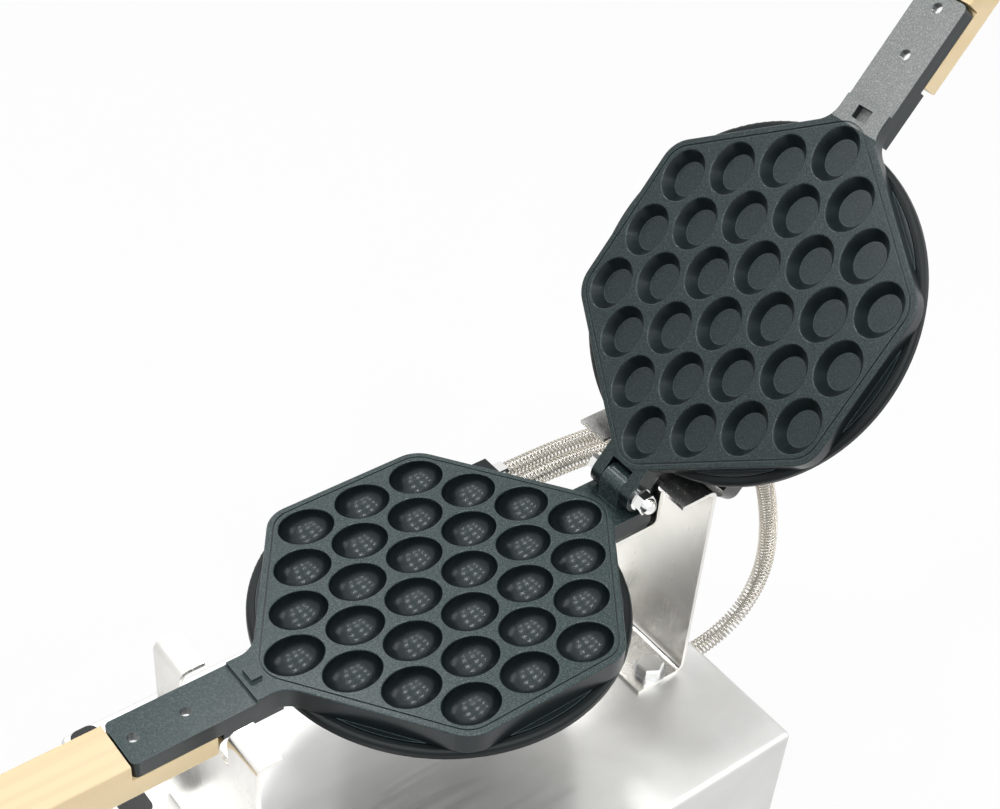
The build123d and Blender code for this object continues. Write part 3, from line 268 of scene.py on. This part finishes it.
def makeFloor():
    mesh = bpy.data.meshes.new("floor")
    sheet = bmesh.new()
    bmesh.ops.create_grid(sheet, x_segments=1, y_segments=1, size=floorPaint["size"])
    sheet.to_mesh(mesh)
    sheet.free()
    floor = bpy.data.objects.new("floor", mesh)
    bpy.context.scene.collection.objects.link(floor)
    material, tree, shader = newMaterial("floorPaint")
    shader.inputs["Base Color"].default_value = floorPaint["colour"]
    shader.inputs["Roughness"].default_value = floorPaint["roughness"]
    bright = tree.nodes.new("ShaderNodeEmission")
    bright.inputs["Color"].default_value = white
    path = tree.nodes.new("ShaderNodeLightPath")
    seen = mathNode(tree, "MAXIMUM", (path, "Is Camera Ray"), (path, "Is Glossy Ray"))
    share = mathNode(tree, "MULTIPLY", (seen, 0), floorPaint["whiteShare"])
    mix = tree.nodes.new("ShaderNodeMixShader")
    link(tree, share, 0, mix, 0)
    link(tree, shader, 0, mix, 1)
    link(tree, bright, 0, mix, 2)
    link(tree, mix, 0, tree.nodes["Material Output"], 0)
    mesh.materials.append(material)


def opened(point):
    # where a point of the shut upper pan lies when the pan is open
    turn = Matrix.Rotation(layout["lidOpen"], 4, "Y")
    return layout["hinge"] + turn @ (Vector(point) - layout["hinge"])


castFinish = {
    # painted sheen: the same coating, made paler on the lower face and on the neck tops
    "face": {"deep": (0.008, 0.021, 0.021), "speck": (0.082, 0.101, 0.098)},
    "neck": {"deep": (0.007, 0.019, 0.020), "speck": (0.060, 0.080, 0.080)},
    # painted sheen on the upper pan's face, weaker than on the lower face
    "lidFaceSheen": {"deep": (0.001, 0.004, 0.004), "speck": (0.046, 0.068, 0.065)},
    # near-black coating, darkened further as painted shade in the walls, cups and bowls
    "shadedWall": {"deep": (0.0008, 0.0018, 0.0022), "speck": (0.004, 0.008, 0.010)},
    # painted reflection of the ceiling on the upper tang's level top
    "tangReflection": {"deep": (0.200, 0.208, 0.200), "speck": (0.400, 0.408, 0.392)},
    "specks": (0.43, 0.53, 0.66),              # none, a first few, full, against the grain
    "firstSpecks": 0.30,
    "edgeHighlight": (0.120, 0.160, 0.158),             # painted highlight along every rounded edge
    "edgeRound": 0.0006,
    "edgeTurn": (0.80, 0.97),                  # highlight painted fully, not at all
    "grain": {"scale": 1500, "detail": 2.0, "roughness": 0.7},
    "relief": {"strength": 0.10, "distance": 0.00008},
    "clouds": {"scale": 30, "detail": 3.0},
    "roughness": (0.40, 0.50),
    "shine": 0.18,
    "tint": (0.60, 0.92, 1.0),
    "glaze": 0.60,                             # the smooth skin over the coating
    "glazeSheen": 0.22,
    "reach": 0.012,                            # depth over which the painted sheen of a pan's face gives way to the painted shade of its walls
    "levelTop": 0.95,                          # how level the top of a neck has to be to take the painted sheen or reflection
}
lowerCast = {
    "name": "castCoating",
    "out": Vector((0, 0, 1)),                  # off the mould's face
    "along": Vector((1, 0, 0)),
    "facePoint": Vector((0, 0, layout["parting"])),
    "pale": [(0.02, 1.0), (0.08, 0.0)],        # share of the face's painted sheen, against depth; the rest is the walls' painted shade
    "face": "face",
    "neck": "neck",
}
upperOut = opened(layout["hinge"] + Vector((0, 0, 1))) - layout["hinge"]      # off the upper pan's back
upperCast = {
    "name": "castCoatingUpper",
    "out": -upperOut,
    "along": opened(layout["hinge"] + Vector((1, 0, 0))) - layout["hinge"],
    "facePoint": opened((0, 0, layout["parting"] + layout["partingGap"])),
    # the upper cup floors also take part of the painted sheen
    "pale": [(0.02, 1.0), (0.08, 0.0), (0.525, 0.0), (0.540, 0.6), (0.570, 0.6), (0.590, 0.0)],
    "face": "lidFaceSheen",
    "neck": "tangReflection",
}


def castColours(tree, grains, tone):
    deep, speck = castFinish[tone]["deep"], castFinish[tone]["speck"]
    few = blended(deep, speck, castFinish["firstSpecks"])
    return ramp(tree, grains, list(zip(castFinish["specks"], (deep, few, speck))))


def edgeHighlightMask(tree, rounding):
    # the edges, found from how far their rounding turns the surface, for a painted highlight
    rounded = tree.nodes.new("ShaderNodeBevel")
    rounded.samples = 4
    rounded.inputs["Radius"].default_value = rounding
    flat = tree.nodes.new("ShaderNodeNewGeometry")
    turned = dotNode(tree, rounded, 0)
    link(tree, flat, "Normal", turned, 1)
    fullHighlight, noHighlight = castFinish["edgeTurn"]
    return ramp(tree, turned, [(fullHighlight, grey(1.0)), (noHighlight, grey(0.0))], out="Value"), rounded


def sheenShadeMask(tree, pan):
    # painted sheen on a pan's face and painted shade below it, from the depth below the face
    coords = tree.nodes.new("ShaderNodeTexCoord")
    inward = -pan["out"]
    below = dotNode(tree, coords, "Object", inward)
    level = inward.dot(pan["facePoint"])
    depth = tree.nodes.new("ShaderNodeMapRange")
    depth.inputs["From Min"].default_value = level
    depth.inputs["From Max"].default_value = level + castFinish["reach"]
    link(tree, below, "Value", depth, 0)
    return ramp(tree, depth, [(where, grey(pale)) for where, pale in pan["pale"]])


def topSheenMask(tree, pan):
    # 1 on the level top of a pan's neck and tang, which takes a painted sheen (lower pan) or a painted
    # reflection (upper pan)
    coords = tree.nodes.new("ShaderNodeTexCoord")
    along = dotNode(tree, coords, "Object", pan["along"])
    start = layout["hinge"].dot(pan["along"]) + (layout["neckStart"] - layout["hinge"].x)
    beyond = mathNode(tree, "LESS_THAN", (along, "Value"), start)
    geometry = tree.nodes.new("ShaderNodeNewGeometry")
    facing = dotNode(tree, geometry, "Normal", pan["out"])
    level = mathNode(tree, "GREATER_THAN", (facing, "Value"), castFinish["levelTop"])
    return mathNode(tree, "MULTIPLY", (beyond, 0), (level, 0))


def castMaterial(pan):
    material, tree, shader = newMaterial(pan["name"])
    coords = objectCoords(tree)
    grains = noise(tree, coords, **castFinish["grain"])
    shadedWall = castColours(tree, grains, "shadedWall")
    face = castColours(tree, grains, pan["face"])
    neck = castColours(tree, grains, pan["neck"])
    # painted sheen on the face, painted shade on the walls
    colours = blendColours(tree, sheenShadeMask(tree, pan), shadedWall, face)
    # painted sheen or reflection on the level tops of neck and tang
    colours = blendColours(tree, topSheenMask(tree, pan), colours, neck, first=2)
    edgeHighlights, rounded = edgeHighlightMask(tree, castFinish["edgeRound"])
    # painted highlight: a pale colour mixed in along every edge
    colours = blendColours(tree, edgeHighlights, colours, flatColour(tree, castFinish["edgeHighlight"]), first=2)
    link(tree, colours, 2, shader, "Base Color")
    clouds = noise(tree, coords, **castFinish["clouds"])
    smooth, dull = castFinish["roughness"]
    rough = drifting(tree, clouds, grey(smooth), grey(dull))
    link(tree, rough, "Color", shader, "Roughness")
    shader.inputs["Specular IOR Level"].default_value = castFinish["shine"]
    shader.inputs["Specular Tint"].default_value = (*castFinish["tint"], 1)
    shader.inputs["Coat Weight"].default_value = castFinish["glaze"]
    shader.inputs["Coat Roughness"].default_value = castFinish["glazeSheen"]
    lumps = relief(tree, shader, grains, **castFinish["relief"])
    link(tree, rounded, 0, lumps, "Normal")
    return material


dishFinish = {
    "deep": (0.003, 0.006, 0.006),
    "worn": (0.011, 0.016, 0.017),
    "clouds": {"scale": 22, "detail": 5.0},
    "roughness": (0.32, 0.46),
    "shine": 0.20,
    "grain": {"scale": 1400, "detail": 2.0, "roughness": 0.6},
    "relief": {"strength": 0.22, "distance": 0.00010},
}


def dishMaterial(name):
    material, tree, shader = newMaterial(name)
    coords = objectCoords(tree)
    clouds = noise(tree, coords, **dishFinish["clouds"])
    colours = drifting(tree, clouds, dishFinish["deep"], dishFinish["worn"], 0.35, 0.75)
    link(tree, colours, "Color", shader, "Base Color")
    smooth, dull = dishFinish["roughness"]
    rough = drifting(tree, clouds, grey(smooth), grey(dull))
    link(tree, rough, "Color", shader, "Roughness")
    grains = noise(tree, coords, **dishFinish["grain"])
    relief(tree, shader, grains, **dishFinish["relief"])
    shader.inputs["Specular IOR Level"].default_value = dishFinish["shine"]
    return material


steelGrain = {
    "lines": {"scale": 320, "detail": 3.0, "roughness": 0.7},
    "smudges": {"scale": 14, "detail": 5.0, "roughness": 0.6},
    "spread": 0.16,                            # of the roughness, along the scratches
    "depth": 0.00005,
}
steels = {
    "cabinet": {
        "name": "brushedCabinet", "colour": (0.72, 0.72, 0.705), "roughness": 0.46,
        "scratch": (0.06, 1, 1), "smudge": 0.12,
    },
    "support": {
        "name": "bentSheet", "colour": (0.87, 0.855, 0.82), "roughness": 0.25,
        "scratch": (1, 1, 0.10), "smudge": 0.20, "relieved": 0.02,
    },
    "chrome": {
        "name": "brightPlate", "colour": (0.86, 0.86, 0.85), "roughness": 0.10,
        "smudge": 0.05, "relieved": 0.02,
    },
    "boltSteel": {"name": "boltSteel", "colour": (0.66, 0.66, 0.645), "roughness": 0.42, "smudge": 0.08},
    "zinc": {"name": "zincPlate", "colour": (0.62, 0.63, 0.64), "roughness": 0.34},
    "wire": {
        "name": "springWire", "colour": (0.60, 0.56, 0.49), "roughness": 0.26,
        "smudge": 0.20, "relieved": 0.05,
    },
}


def steelMaterial(name, colour, roughness, scratch=(1, 1, 1), smudge=0.10, relieved=0.12):
    # sheet or bar steel: fine scratches along one way, and faint smudges
    material, tree, shader = newMaterial(name)
    shader.inputs["Metallic"].default_value = 1.0
    lines = noise(tree, objectCoords(tree, scratch), **steelGrain["lines"])
    clouds = noise(tree, objectCoords(tree), **steelGrain["smudges"])
    colours = drifting(tree, clouds, lifted(colour, 1 - smudge), colour, 0.30, 0.62)
    link(tree, colours, "Color", shader, "Base Color")
    spread = steelGrain["spread"]
    rough = mathNode(tree, "MULTIPLY_ADD", (lines, 0), spread, roughness - spread / 2)
    link(tree, rough, 0, shader, "Roughness")
    relief(tree, shader, lines, relieved, steelGrain["depth"])
    return material


pineFinish = {
    "pale": (0.93, 0.74, 0.45),
    "line": (0.84, 0.60, 0.30),
    "lineShare": 0.35,
    "roughness": 0.42,
    "stretch": (2.2, 34, 34),                  # the figure runs along the handle
    "rings": {"Scale": 1.1, "Distortion": 5.5, "Detail": 3.0, "Detail Scale": 1.4},
    "drift": {"scale": 1.6, "detail": 3.0},
    "poreStretch": (40, 900, 900),
    "pores": {"scale": 1.0, "detail": 3.0},
    "relief": {"strength": 0.15, "distance": 0.00012},
}


def pineMaterial(name, turn):
    material, tree, shader = newMaterial(name)
    coords = objectCoords(tree, pineFinish["stretch"], (0, turn, 0))
    rings = tree.nodes.new("ShaderNodeTexWave")
    rings.bands_direction = "Y"
    for setting, value in pineFinish["rings"].items():
        rings.inputs[setting].default_value = value
    link(tree, coords, "Vector", rings, "Vector")
    pale = drifting(tree, rings, lifted(pineFinish["pale"], 0.90), pineFinish["pale"], 0.05, 0.75)
    drift = noise(tree, coords, **pineFinish["drift"])
    line = drifting(tree, drift, pineFinish["line"], pineFinish["pale"], 0.35, 0.52)
    colours = blendColours(tree, pineFinish["lineShare"], pale, line)
    link(tree, colours, 2, shader, "Base Color")
    shader.inputs["Roughness"].default_value = pineFinish["roughness"]
    poreCoords = objectCoords(tree, pineFinish["poreStretch"], (0, turn, 0))
    relief(tree, shader, noise(tree, poreCoords, **pineFinish["pores"]), **pineFinish["relief"])
    return material


plainGrain = {
    "clouds": {"scale": 60, "detail": 3.0},
    "darker": 0.88,
    "lighter": 1.08,
    "detail": 2.0,
    "depth": 0.00006,
}
plains = {
    "rubber": {
        "name": "rubberMoulding", "colour": (0.020, 0.020, 0.021), "roughness": 0.62,
        "grain": 700, "relieved": 0.3,
    },
    "plastic": {
        "name": "blackMoulding", "colour": (0.022, 0.022, 0.023), "roughness": 0.42,
        "grain": 1200, "relieved": 0.12,
    },
    "gloss": {
        "name": "glossBlack", "colour": (0.010, 0.011, 0.012), "roughness": 0.16,
        "grain": 300, "relieved": 0.02, "coat": 0.3,
    },
    "red": {
        "name": "redLens", "colour": (0.62, 0.03, 0.02), "roughness": 0.14,
        "grain": 300, "relieved": 0.05, "coat": 0.4,
    },
    "green": {
        "name": "greenLens", "colour": (0.03, 0.42, 0.09), "roughness": 0.14,
        "grain": 300, "relieved": 0.05, "coat": 0.4,
    },
    "wool": {
        "name": "ceramicWool", "colour": (0.78, 0.76, 0.70), "roughness": 0.95,
        "grain": 160, "relieved": 0.9,
    },
    "ceramic": {
        "name": "terminalCeramic", "colour": (0.86, 0.84, 0.79), "roughness": 0.45,
        "grain": 500, "relieved": 0.15,
    },
    "sleeve": {
        "name": "hoseSleeve", "colour": (0.80, 0.79, 0.75), "roughness": 0.45,
        "grain": 400, "relieved": 0.2,
    },
}


def plainMaterial(name, colour, roughness, grain, relieved, coat=0.0):
    # moulded pieces: a colour that drifts slightly and a fine surface
    material, tree, shader = newMaterial(name)
    coords = objectCoords(tree)
    clouds = noise(tree, coords, **plainGrain["clouds"])
    darker = lifted(colour, plainGrain["darker"])
    lighter = lifted(colour, plainGrain["lighter"])
    colours = drifting(tree, clouds, darker, lighter)
    link(tree, colours, "Color", shader, "Base Color")
    shader.inputs["Roughness"].default_value = roughness
    shader.inputs["Coat Weight"].default_value = coat
    grains = noise(tree, coords, grain, plainGrain["detail"])
    relief(tree, shader, grains, relieved, plainGrain["depth"])
    return material


def makeFinishes():
    finishes = {
        "cast": castMaterial(lowerCast),
        "castUpper": castMaterial(upperCast),
        "dish": dishMaterial("dishCoating"),
        "lowerPine": pineMaterial("pineLower", 0.0),
        "upperPine": pineMaterial("pineUpper", -layout["lidOpen"]),
    }
    for finish, settings in steels.items():
        finishes[finish] = steelMaterial(**settings)
    for finish, settings in plains.items():
        finishes[finish] = plainMaterial(**settings)
    return finishes


finishOf = {
    "cast": ["lower_mould"],
    "castUpper": ["upper_mould"],
    "dish": ["lower_housing", "upper_housing"],
    "cabinet": ["base_cabinet", "base_front_panel", "base_rear_panel"],
    "support": ["front_support", "rear_support"],
    "chrome": [
        "hinge_bolt", "hinge_washers", "hinge_nut", "lower_handle_screws",
        "upper_handle_screws", "rear_glands", "lower_pan_glands", "upper_pan_gland",
        "thermostat_spindle", "timer_spindle", "temperature_bulb",
    ],
    "boltSteel": ["support_bolts"],
    "zinc": [
        "base_bottom_plate", "foot_screws", "support_washers", "support_nuts", "thermostat_body",
        "timer_body", "inlet_screws", "rear_gland_nuts", "lower_housing_screws",
        "upper_housing_screws", "cover_screws", "upper_gland_nut", "lower_heating_element",
        "upper_heating_element",
    ],
    "lowerPine": ["lower_handle"],
    "upperPine": ["upper_handle"],
    "rubber": ["rubber_feet"],
    "plastic": ["switch_housing", "power_inlet", "thermostat_knob", "timer_knob"],
    "gloss": ["label_plate", "switch_rocker", "upper_cable_cover"],
    "red": ["power_lamp"],
    "green": ["heating_lamp"],
    "wool": ["lower_insulation", "upper_insulation"],
    "ceramic": ["terminal_block"],
}


def dressNodes(finishes):
    for finish, names in finishOf.items():
        for name in names:
            if name in nodes:
                mesh = nodes[name].data
                mesh.materials.clear()
                mesh.materials.append(finishes[finish])


hose = {
    "sleeveRadius": 0.0015,
    "coilRadius": 0.0045,                      # to the middle of the wire
    "wireRadius": 0.00048,
    "pitch": 0.0024,
    "stepsPerTurn": 14,
    "wireSides": 6,
    "smoothness": 24,                          # points between two points of a route
}
parting = layout["parting"]
rearZ = layout["rearGlandHeight"]
rearFace = layout["rearFace"]
lowerRoute = [
    (0.085, 0.050, parting - 0.020), (0.125, 0.050, parting - 0.020),
    (rearFace + 0.014, 0.048, parting - 0.030), (rearFace + 0.029, 0.045, parting - 0.072),
    (rearFace + 0.032, 0.042, parting - 0.098), (rearFace + 0.023, 0.040, rearZ),
    (rearFace, 0.040, rearZ),
]
sensorRoute = [
    (0.085, 0.0615, parting - 0.020), (0.128, 0.0615, parting - 0.020),
    (rearFace + 0.020, 0.063, parting - 0.032), (rearFace + 0.036, 0.063, parting - 0.072),
    (rearFace + 0.038, 0.062, parting - 0.104), (rearFace + 0.028, 0.062, rearZ),
    (rearFace, 0.062, rearZ),
]
upperGland = opened((0.064, -0.020, parting + 0.0455))
upperRoute = [
    upperGland, upperGland + 0.026 * upperOut, (rearFace + 0.047, -0.020, parting - 0.050),
    (rearFace + 0.052, -0.020, parting - 0.098), (rearFace + 0.029, -0.020, rearZ),
    (rearFace, -0.020, rearZ),
]


def hoseCurve(name, route, radius):
    data = bpy.data.curves.new(name, "CURVE")
    data.dimensions = "3D"
    data.resolution_u = hose["smoothness"]
    spline = data.splines.new("NURBS")
    spline.points.add(len(route) - 1)
    for point, where in zip(spline.points, route):
        point.co = (*where, 1)
    spline.order_u = 3
    spline.use_endpoint_u = True
    data.bevel_depth = radius
    data.bevel_resolution = 3
    data.use_fill_caps = True
    thing = bpy.data.objects.new(name, data)
    bpy.context.scene.collection.objects.link(thing)
    return thing


def takeMesh(curve):
    # the curve's own mesh; the curve itself goes
    mesh = bpy.data.meshes.new_from_object(curve)
    data = curve.data
    bpy.data.objects.remove(curve)
    bpy.data.curves.remove(data)
    return mesh


def hoseLine(route):
    # the smooth line itself, as points close together
    mesh = takeMesh(hoseCurve("guide", route, 0))
    points = [vertex.co.copy() for vertex in mesh.vertices]
    bpy.data.meshes.remove(mesh)
    return points


def evenLine(points, step):
    # the same line, with its points one step apart
    line = [points[0]]
    left = step
    for here, there in zip(points, points[1:]):
        run = (there - here).length
        gone = left
        while gone <= run:
            line.append(here.lerp(there, gone / run))
            gone += step
        left = gone - run
    return line


def meshObject(name, mesh):
    thing = bpy.data.objects.new(name, mesh)
    bpy.context.scene.collection.objects.link(thing)
    return thing


def springAlong(name, points):
    # an armour spring: one wire wound round the line, its turns an even pitch apart
    line = evenLine(points, hose["pitch"] / hose["stepsPerTurn"])
    wire = bmesh.new()
    side = Vector((0, 1, 0))
    ring = []
    angleStep = 2 * math.pi / hose["stepsPerTurn"]
    sides = hose["wireSides"]
    for number in range(1, len(line) - 1):
        ahead = (line[number + 1] - line[number - 1]).normalized()
        side = (side - side.dot(ahead) * ahead).normalized()
        up = ahead.cross(side)
        angle = number * angleStep
        out = math.cos(angle) * side + math.sin(angle) * up
        centre = line[number] + hose["coilRadius"] * out
        newRing = []
        for corner in range(sides):
            turn = 2 * math.pi * corner / sides
            reach = math.cos(turn) * out + math.sin(turn) * ahead
            newRing.append(wire.verts.new(centre + hose["wireRadius"] * reach))
        if ring:
            for corner in range(sides):
                after = (corner + 1) % sides
                wire.faces.new((ring[corner], ring[after], newRing[after], newRing[corner]))
        else:
            wire.faces.new(reversed(newRing))
        ring = newRing
    wire.faces.new(ring)
    bmesh.ops.recalc_face_normals(wire, faces=wire.faces)
    mesh = bpy.data.meshes.new(name)
    wire.to_mesh(mesh)
    wire.free()
    mesh.shade_smooth()
    return meshObject(name, mesh)


def makeHose(name, node, route, finishes, bendsWithLid=False):
    sleeve = hoseCurve(name + "_sleeve", route, hose["sleeveRadius"])
    sleeve.data.materials.append(finishes["sleeve"])
    points = hoseLine(route)
    spring = springAlong(name + "_spring", points)
    spring.data.materials.append(finishes["wire"])
    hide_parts(node)
    if bendsWithLid:
        sleeve = meshObject(sleeve.name, takeMesh(sleeve))
        for piece in (sleeve, spring):
            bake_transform(piece)
    else:
        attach(sleeve, "base")
        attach(spring, "base")


bpy.context.scene.view_settings.view_transform = "Standard"
makeWorld()
makeCamera()
makeLamps()
makeFloor()
print("stage ready")
finishes = makeFinishes()
dressNodes(finishes)
print("finishes ready")
makeHose("lowerHose", "lower_heater_conduit", lowerRoute, finishes)
makeHose("sensorHose", "sensor_conduit", sensorRoute, finishes)
makeHose("upperHose", "upper_heater_conduit", upperRoute, finishes, bendsWithLid=True)
print("hoses ready")
